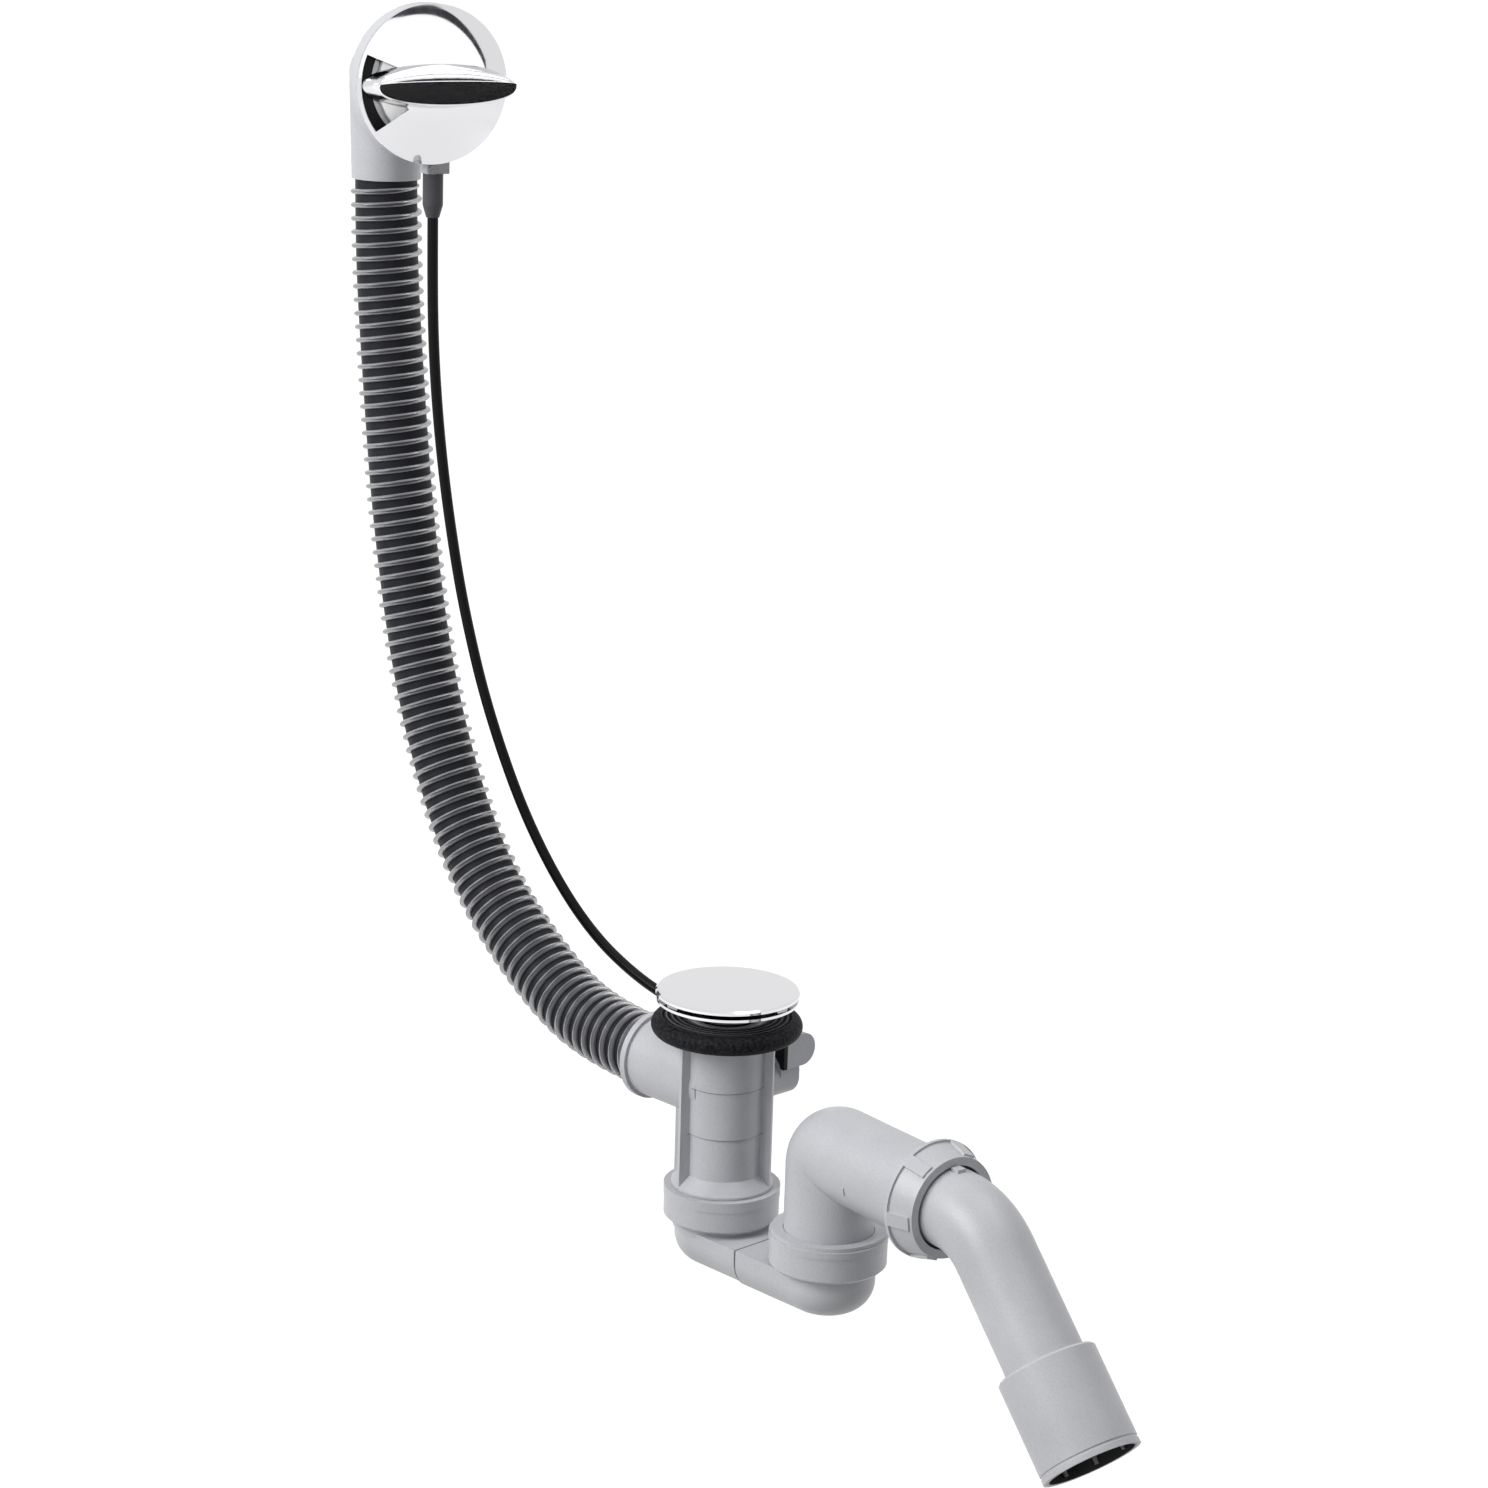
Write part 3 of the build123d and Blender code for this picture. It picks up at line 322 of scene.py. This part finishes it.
def hose_frame(s):
    """Centre, the two directions across the hose and the one along it, at distances s from its top end."""
    at = np.column_stack([np.interp(s, gone, centre[:, i]) for i in range(3)])
    step = 0.0005
    after = np.column_stack([np.interp(s + step, gone, centre[:, i]) for i in range(3)])
    before = np.column_stack([np.interp(s - step, gone, centre[:, i]) for i in range(3)])
    along = after - before
    along = along / np.linalg.norm(along, axis=1)[:, None]
    across = np.tile([0.0, 1.0, 0.0], (len(s), 1))
    return at, across, np.cross(along, across), along


def grid_faces(rows, columns, close_rows=False):
    """Quads of a grid of rows by columns that closes on itself round the columns."""
    i = np.arange(rows if close_rows else rows - 1)[:, None]
    j = np.arange(columns)[None, :]
    after = (i + 1) % rows
    beside = (j + 1) % columns
    quads = [i * columns + j, i * columns + beside, after * columns + beside, after * columns + j]
    return np.stack([np.broadcast_to(q, (len(i), columns)) for q in quads], -1).reshape(-1, 4)


# Tube wall: out along the outside and back along the bore, as one closed ring of rows.
end_gap = 0.0005
tube_rows, tube_columns = 260, 56
rows = np.linspace(end_gap, hose_length - end_gap, tube_rows)
around = np.linspace(0, 2 * np.pi, tube_columns, endpoint=False)
s = np.concatenate([rows, rows[::-1]])
radius = np.concatenate([np.full(len(rows), hose_r), np.full(len(rows), hose_bore)])
at, across, up, along = hose_frame(s)
spokes = across[:, None] * np.cos(around)[None, :, None] + up[:, None] * np.sin(around)[None, :, None]
wall = at[:, None] + radius[:, None, None] * spokes
hose = add_mesh("hose_tube", wall.reshape(-1, 3), grid_faces(len(s), len(around), True)[:, ::-1])
# Soft PVC: dark grey and satin, with a fine mottle from the extruder.
mottle_mm = 1.111
soft_pvc, tree, shader = material_of("soft grey PVC", Roughness=0.5, Specular_IOR_Level=0.12)
where = add_node(tree, "ShaderNodeTexCoord").outputs["Object"]
grain = add_node(tree, "ShaderNodeTexNoise", Vector=where, Scale=1000 / mottle_mm, Detail=3.0)
tree.links.new(blended(tree, grain.outputs[0], "#1a1b1f", "#2b2d32"), shader.inputs["Base Color"])
bump = add_node(tree, "ShaderNodeBump", Strength=0.15, Distance=0.0003, Height=grain.outputs[0])
tree.links.new(bump.outputs[0], shader.inputs["Normal"])
wear(hose, soft_pvc)
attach(hose, "waste")
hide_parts("overflow_hose")

# The bead: an oval profile carried along a right-hand helix at the tube's surface, partly sunk into it.
# Both ends taper over a third of a turn.
bead_from = 0.0125
bead_to = hose_length - 0.0150
bead_lift = 0.28
taper_turns = 1 / 3
thinnest = 0.02
steps_per_turn, oval_points = 44, 12
turns = (bead_to - bead_from) / bead_pitch
steps = int(turns * steps_per_turn)
u = np.linspace(0, 1, steps)
s = bead_from + (bead_to - bead_from) * u
angle = 2 * np.pi * turns * u
at, across, up, along = hose_frame(s)
out = across * np.cos(angle)[:, None] + up * np.sin(angle)[:, None]
fade = np.clip(np.minimum(u, 1 - u) * turns / taper_turns, thinnest, 1.0)
oval = np.linspace(0, 2 * np.pi, oval_points, endpoint=False)
bead_high = bead_top - hose_r
rise = hose_r + bead_high * (bead_lift + (1 - bead_lift) * np.cos(oval)[None, :] * fade[:, None])
spread = bead_half * np.sin(oval)[None, :] * fade[:, None]
bead = at[:, None] + rise[..., None] * out[:, None] + spread[..., None] * along[:, None]
faces = grid_faces(steps, oval_points)
ends = [list(range(oval_points))[::-1], list(range((steps - 1) * oval_points, steps * oval_points))]
rib = add_mesh("hose_bead", bead.reshape(-1, 3), [*faces.tolist(), *ends])
flank_highlight = rib.data.attributes.new("flank_highlight", "FLOAT", "POINT")
flank_highlight.data.foreach_set("value", np.tile(np.abs(np.sin(oval)), steps))
# Clear PVC: the middle of the bead is painted dark as the tube seen through it, and its flanks carry a
# painted highlight in pale grey.
clear_pvc, tree, shader = material_of(
    "clear PVC bead", Roughness=0.3, IOR=1.5, Transmission_Weight=0.3, Specular_IOR_Level=0.2)
flank_highlight_attr = add_node(tree, "ShaderNodeAttribute", {"attribute_name": "flank_highlight"})
pale = add_node(tree, "ShaderNodeMapRange", Value=flank_highlight_attr.outputs["Fac"], From_Min=0.25, From_Max=0.8)
tree.links.new(blended(tree, pale.outputs[0], "#3a3a40", "#a8a8ae"), shader.inputs["Base Color"])
wear(rib, clear_pvc)
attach(rib, "waste")

# Mouldings of the waste, the trap, the riser, the outlet and the overflow elbow: light grey
# polypropylene, injection moulded in a finely eroded tool, so the skin is satin with a fine grain.

grain_mm = 0.8
cloud_mm = 35.7


def moulded_plastic(name):
    """Satin polypropylene: a fine eroded grain over slow clouds of tone; returns also its colour."""
    made, tree, shader = material_of(name, Roughness=0.4)
    where = add_node(tree, "ShaderNodeTexCoord").outputs["Object"]
    grain = add_node(tree, "ShaderNodeTexNoise", Vector=where, Scale=1000 / grain_mm, Detail=3.0)
    cloud = add_node(tree, "ShaderNodeTexNoise", Vector=where, Scale=1000 / cloud_mm, Detail=2.0)
    mixed = add_node(tree, "ShaderNodeMath", {"operation": "MULTIPLY_ADD"}, _0=grain.outputs[0], _1=1.2)
    tree.links.new(cloud.outputs[0], mixed.inputs[2])
    tint = add_node(tree, "ShaderNodeMapRange", Value=mixed.outputs[0], From_Min=0.7, From_Max=1.5)
    colour = blended(tree, tint.outputs[0], "#bbbcc1", "#cecfd3")
    tree.links.new(colour, shader.inputs["Base Color"])
    bump = add_node(tree, "ShaderNodeBump", Strength=0.15, Distance=0.0002, Height=grain.outputs[0])
    tree.links.new(bump.outputs[0], shader.inputs["Normal"])
    return made, tree, shader, where, colour


def line_at(tree, where, axis, place, half_width):
    """1 on a thin line where one coordinate equals a place, 0 beside it, in metres."""
    parts = add_node(tree, "ShaderNodeSeparateXYZ", Vector=where)
    return add_node(tree, "ShaderNodeMath", {"operation": "COMPARE"},
                    _0=parts.outputs[axis], _1=place, _2=half_width).outputs[0]


grey_pp, tree, shader, where, colour = moulded_plastic("moulded grey polypropylene")
for name in ("inlet_ring", "outlet_ring", "riser_elbow", "union_nut", "overflow_body", "cable_housing"):
    wear(nodes[name], grey_pp)

# Barrel of the waste: two fine witness lines where the mould's sleeves meet.
barrel_reach = 0.0216
witness_z = (-0.0358, -0.0612)
witness_half = 0.0003
barrel_pp, tree, shader, where, colour = moulded_plastic("polypropylene with witness lines")
flat = add_node(tree, "ShaderNodeVectorMath", {"operation": "MULTIPLY"}, _0=where, _1=(1, 1, 0))
radius = add_node(tree, "ShaderNodeVectorMath", {"operation": "LENGTH"}, _0=flat.outputs[0])
on_barrel = add_node(tree, "ShaderNodeMath", {"operation": "LESS_THAN"},
                     _0=radius.outputs["Value"], _1=barrel_reach)
for place in witness_z:
    line = add_node(tree, "ShaderNodeMath", {"operation": "MULTIPLY"},
                    _0=line_at(tree, where, "Z", place, witness_half), _1=on_barrel.outputs[0])
    colour = blended(tree, line.outputs[0], colour, "#8a8a90")
tree.links.new(colour, shader.inputs["Base Color"])
wear(nodes["waste_body"], barrel_pp)

# Trap: the two halves are welded, and the weld shows as one dark line round the channel.
weld_x = 0.036
weld_half = 0.0008
trap_pp, tree, shader, where, colour = moulded_plastic("polypropylene with a weld line")
colour = blended(tree, line_at(tree, where, "X", weld_x, weld_half), colour, "#48484d")
tree.links.new(colour, shader.inputs["Base Color"])
for name in ("trap_inlet", "trap_outlet"):
    wear(nodes[name], trap_pp)

# Outlet pipe and end sleeve: the bore between the ribs is painted dark as shade, and the rib tops keep a
# light grey.
leg_turn = np.radians(-6.6)
fall = np.radians(46.5)
leg_dir = np.array([np.cos(leg_turn), np.sin(leg_turn), 0.0])
fall_dir = leg_dir * np.cos(fall) - np.array([0, 0, np.sin(fall)])
elbow_at = np.array([0.0785, 0, -0.0493])
leg_len = 0.114
bend_at = elbow_at + leg_len * leg_dir
rib_r, bore_r = 0.0208, 0.0219
wall_from_r, wall_to_r = 0.0222, 0.0242
pipe_pp, tree, shader, where, colour = moulded_plastic("polypropylene with painted shade in the bore")
beside = add_node(tree, "ShaderNodeVectorMath", {"operation": "SUBTRACT"}, _0=where, _1=bend_at)
beside = add_node(tree, "ShaderNodeVectorMath", {"operation": "CROSS_PRODUCT"},
                  _0=beside.outputs[0], _1=fall_dir)
radius = add_node(tree, "ShaderNodeVectorMath", {"operation": "LENGTH"}, _0=beside.outputs[0])
radius = radius.outputs["Value"]
# Painted shade: the bore wall goes dark outwards from the rib tops, by distance from the fall axis.
bore_shade = add_node(tree, "ShaderNodeMapRange", Value=radius, From_Min=rib_r, From_Max=bore_r)
bore = blended(tree, bore_shade.outputs[0], "#b4b4b9", "#17171a")
outside = add_node(tree, "ShaderNodeMapRange", Value=radius, From_Min=wall_from_r, From_Max=wall_to_r)
colour = blended(tree, outside.outputs[0], bore, colour)
tree.links.new(colour, shader.inputs["Base Color"])
wear(nodes["outlet_adapter"], pipe_pp)
wear(nodes["outlet_bend"], grey_pp)

# Boot and lever of the cable, in dark grey plastic, and the slip washer in the union nut, in black as
# painted
# shade for the gap round the pipe: the same polypropylene with other pigments, and the same eroded grain.

for name, low, high, worn_by in (
        ("moulded dark grey polypropylene", "#434348", "#525257", ("cable_boot", "cable_lever")),
        # The black washer is painted shade for the gap between the nut and the pipe.
        ("black polypropylene as painted gap shade", "#060607", "#141416", ("slip_washer",))):
    dark_pp, tree, shader = material_of(name, Roughness=0.5, Specular_IOR_Level=0.25)
    where = add_node(tree, "ShaderNodeTexCoord").outputs["Object"]
    grain = add_node(tree, "ShaderNodeTexNoise", Vector=where, Scale=1000 / grain_mm, Detail=3.0)
    tree.links.new(blended(tree, grain.outputs[0], low, high), shader.inputs["Base Color"])
    for piece in worn_by:
        wear(nodes[piece], dark_pp)

# Cable wheel behind the rosette: white acetal, moulded in a polished tool, so it is smooth with a
# faint milky flow in it.

acetal, tree, shader = material_of("moulded white acetal", Roughness=0.3)
where = add_node(tree, "ShaderNodeTexCoord").outputs["Object"]
flow_mm = 12.0
flow = add_node(tree, "ShaderNodeTexNoise", Vector=where, Scale=1000 / flow_mm, Detail=2.0)
tree.links.new(blended(tree, flow.outputs[0], "#e8e8e8", "#f4f4f4"), shader.inputs["Base Color"])
wear(nodes["cable_wheel"], acetal)

# Gasket, washers and seals: black moulded rubber, matt and slightly dusty on its high spots.

dust_mm = 2.38
rubber, tree, shader = material_of("black EPDM rubber", Roughness=0.55, Specular_IOR_Level=0.15)
where = add_node(tree, "ShaderNodeTexCoord").outputs["Object"]
dust = add_node(tree, "ShaderNodeTexNoise", Vector=where, Scale=1000 / dust_mm, Detail=4.0)
tree.links.new(blended(tree, dust.outputs[0], "#0e0e10", "#202023"), shader.inputs["Base Color"])
bump = add_node(tree, "ShaderNodeBump", Strength=0.2, Distance=0.0003, Height=dust.outputs[0])
tree.links.new(bump.outputs[0], shader.inputs["Normal"])
for name in ("plug_seal", "shaft_seal", "inlet_lip_seal", "outlet_lip_seal", "wedge_seal",
             "adapter_seal", "overflow_gasket", "branch_seal", "housing_plate"):
    wear(nodes[name], rubber)

# Waste gasket: the same rubber, with ring ridges on top whose crests carry a painted highlight in grey.
ridge_pitch = 0.0028
ridge_crest_r = 0.0312
ridge_last_r = 0.0338
speck_mm = 1.54
ridged, tree, shader = material_of("ridged EPDM rubber", Roughness=0.6, Specular_IOR_Level=0.08)
where = add_node(tree, "ShaderNodeTexCoord").outputs["Object"]
flat = add_node(tree, "ShaderNodeVectorMath", {"operation": "MULTIPLY"}, _0=where, _1=(1, 1, 0))
radius = add_node(tree, "ShaderNodeVectorMath", {"operation": "LENGTH"}, _0=flat.outputs[0])
phase = add_node(tree, "ShaderNodeMath", {"operation": "MULTIPLY_ADD"}, _0=radius.outputs["Value"],
                 _1=2 * np.pi / ridge_pitch, _2=-2 * np.pi * ridge_crest_r / ridge_pitch)
wave = add_node(tree, "ShaderNodeMath", {"operation": "COSINE"}, _0=phase.outputs[0])
# Painted highlight: the ridge crests are lighter grey, as their glint.
crest_glint = add_node(tree, "ShaderNodeMapRange", Value=wave.outputs[0], From_Min=0.55, From_Max=1.0)
inside = add_node(tree, "ShaderNodeMath", {"operation": "LESS_THAN"},
                  _0=radius.outputs["Value"], _1=ridge_last_r)
crest_glint = add_node(tree, "ShaderNodeMath", {"operation": "MULTIPLY"},
                 _0=crest_glint.outputs[0], _1=inside.outputs[0])
dust = add_node(tree, "ShaderNodeTexNoise", Vector=where, Scale=1000 / speck_mm, Detail=3.0)
specks = add_node(tree, "ShaderNodeMapRange", Value=dust.outputs[0], From_Min=0.35, From_Max=0.75)
colour = blended(tree, specks.outputs[0], "#050506", "#323236")
colour = blended(tree, crest_glint.outputs[0], colour, "#7c7c80")
tree.links.new(colour, shader.inputs["Base Color"])
bump = add_node(tree, "ShaderNodeBump", Strength=0.25, Distance=0.0003, Height=dust.outputs[0])
tree.links.new(bump.outputs[0], shader.inputs["Normal"])
wear(nodes["waste_gasket"], ridged)

# Plug, flange and rosette: pressed brass, polished and under bright chrome plate. The polish leaves
# a haze in patches a few millimetres wide, which softens the mirror a little here and there.

haze_mm = 6.0
chrome, tree, shader = material_of("bright chrome plate", Base_Color=paint("#dcdcde"), Metallic=1.0)
where = add_node(tree, "ShaderNodeTexCoord").outputs["Object"]
haze = add_node(tree, "ShaderNodeTexNoise", Vector=where, Scale=1000 / haze_mm, Detail=3.0)
mirror_rough, haze_rough = 0.035, 0.075
soft = add_node(tree, "ShaderNodeMapRange", Value=haze.outputs[0], From_Min=0.3, From_Max=0.8,
                To_Min=mirror_rough, To_Max=haze_rough)
tree.links.new(soft.outputs[0], shader.inputs["Roughness"])
for name in ("plug_cap", "waste_flange", "rosette"):
    wear(nodes[name], chrome)

# Wing handle: a die-cast zinc blade across the rosette, polished and chromed. Its upper side rolls
# softly into the flat face, and a fine bevel runs along the face's lower edge.

head_turn = np.radians(-17.4)
head_origin = np.array([-0.284, 0.0, 0.4539])
head_side = np.array([-np.sin(head_turn), np.cos(head_turn), 0.0])
head_up = np.array([0.0, 0.0, 1.0])
head_out = np.array([np.cos(head_turn), np.sin(head_turn), 0.0])
rim_w, rim_r, rosette_sag = 0.0670, 0.0413, 0.0090
dome_r = (rim_r ** 2 + rosette_sag ** 2) / (2 * rosette_sag)
dome_w = rim_w + rosette_sag - dome_r
blade_rows, blade_columns = 25, 128
round_angle = np.linspace(0, 2 * np.pi, blade_columns, endpoint=False)


def blade_outline(left, right, up, down, tip_v, fullness):
    """Oval round the angle: the reach goes with its cosine, the height with a power of its sine that
    fills the tips out where it is below 1."""
    reach = (right - left) / 2 + (right + left) / 2 * np.cos(round_angle)
    swell = np.abs(np.sin(round_angle)) ** fullness
    height = tip_v + swell * np.where(np.sin(round_angle) > 0, up - tip_v, -down - tip_v)
    return np.stack([reach, height], -1)


foot = blade_outline(left=0.0405, right=0.0410, up=0.0112, down=0.0114, tip_v=0.0, fullness=0.95)
face = blade_outline(left=0.0358, right=0.0398, up=0.0030, down=0.0097, tip_v=0.0006, fullness=0.7)
# 1 along the upper side and 0 along the lower one, with a soft change at the tips.
upper = 0.5 + 0.5 * np.tanh(3 * np.sin(round_angle))
bevel_size = 0.0009
bevel = bevel_size * (1 - upper)
foot_stand, face_stand, dome_gap = 0.0040, 0.0168, 0.00005
foot_w = np.maximum(rim_w + foot_stand, dome_w + np.sqrt(dome_r ** 2 - (foot ** 2).sum(1)) + dome_gap)
face_w = rim_w + face_stand
# From foot to face the flank runs straight below. Above, it flattens out with the fourth power.
climb = np.linspace(0, 1, blade_rows)[:, None]
outward = (1 - upper) * climb + upper * (1 - (1 - climb) ** 4)
across_blade = (1 - climb)[..., None] * foot + climb[..., None] * face
w = foot_w + (face_w - bevel - foot_w) * outward
top_row = face + np.stack([np.zeros_like(bevel), bevel], -1)
across_blade = np.concatenate([across_blade, top_row[None]])
w = np.concatenate([w, np.full((1, blade_columns), face_w)])
blade = (head_origin + across_blade[..., :1] * head_side + across_blade[..., 1:] * head_up
         + w[..., None] * head_out)
points = blade.reshape(-1, 3)
caps = [list(range(blade_columns))[::-1], list(range(len(points) - blade_columns, len(points)))]
handle = add_mesh("handle_blade", points, [*grid_faces(len(blade), blade_columns).tolist(), *caps])
for cap in (-2, -1):
    handle.data.polygons[cap].use_smooth = False
# Chrome over a fine cast grain, a little softer than the rosette's polish.
cast_grain_mm = 1.111
cast_chrome, tree, shader = material_of("chrome over cast zinc", Base_Color=paint("#dcdcde"), Metallic=1.0,
                                        Roughness=0.11)
where = add_node(tree, "ShaderNodeTexCoord").outputs["Object"]
grain = add_node(tree, "ShaderNodeTexNoise", Vector=where, Scale=1000 / cast_grain_mm, Detail=3.0)
bump = add_node(tree, "ShaderNodeBump", Strength=0.22, Distance=0.0001, Height=grain.outputs[0])
tree.links.new(bump.outputs[0], shader.inputs["Normal"])
wear(handle, cast_chrome)
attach(handle, "knob")
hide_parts("wing_handle")

# Stem, nut, crank and spindle: brass turned on a lathe. Fine tool marks run round each one's own
# axis, and the colour dulls in patches.

tool_mark_mm = 0.3
dull_mm = 8.33
wave_period = 0.314  # a wave texture of scale 1 repeats after this length
for axis, names in (("Z", ("plug_stem", "stem_nut")), ("Y", ("crank_shaft",)), ("X", ("spindle",))):
    brass, tree, shader = material_of("brass turned about " + axis, Metallic=1.0, Roughness=0.28)
    where = add_node(tree, "ShaderNodeTexCoord").outputs["Object"]
    dull = add_node(tree, "ShaderNodeTexNoise", Vector=where, Scale=1000 / dull_mm, Detail=3.0)
    tree.links.new(blended(tree, dull.outputs[0], "#b8934c", "#d3b06a"), shader.inputs["Base Color"])
    marks = add_node(tree, "ShaderNodeTexWave", {"bands_direction": axis}, Vector=where,
                     Scale=wave_period * 1000 / tool_mark_mm, Distortion=0.4)
    bump = add_node(tree, "ShaderNodeBump", Strength=0.15, Distance=0.00005, Height=marks.outputs["Fac"])
    tree.links.new(bump.outputs[0], shader.inputs["Normal"])
    for name in names:
        wear(nodes[name], brass)

# Screws, nipples and pull wire: stainless steel, cold headed or drawn, with a fine bright grain.

steel_grain_mm = 0.5
steel, tree, shader = material_of("drawn stainless steel", Metallic=1.0, Roughness=0.25)
where = add_node(tree, "ShaderNodeTexCoord").outputs["Object"]
grain = add_node(tree, "ShaderNodeTexNoise", Vector=where, Scale=1000 / steel_grain_mm, Detail=3.0)
tree.links.new(blended(tree, grain.outputs[0], "#a9a9ad", "#cfcfd2"), shader.inputs["Base Color"])
bump = add_node(tree, "ShaderNodeBump", Strength=0.1, Distance=0.00005, Height=grain.outputs[0])
tree.links.new(bump.outputs[0], shader.inputs["Normal"])
for name in ("housing_screw", "clamp_screw", "lever_nipple", "wheel_nipple", "cable_wire"):
    wear(nodes[name], steel)
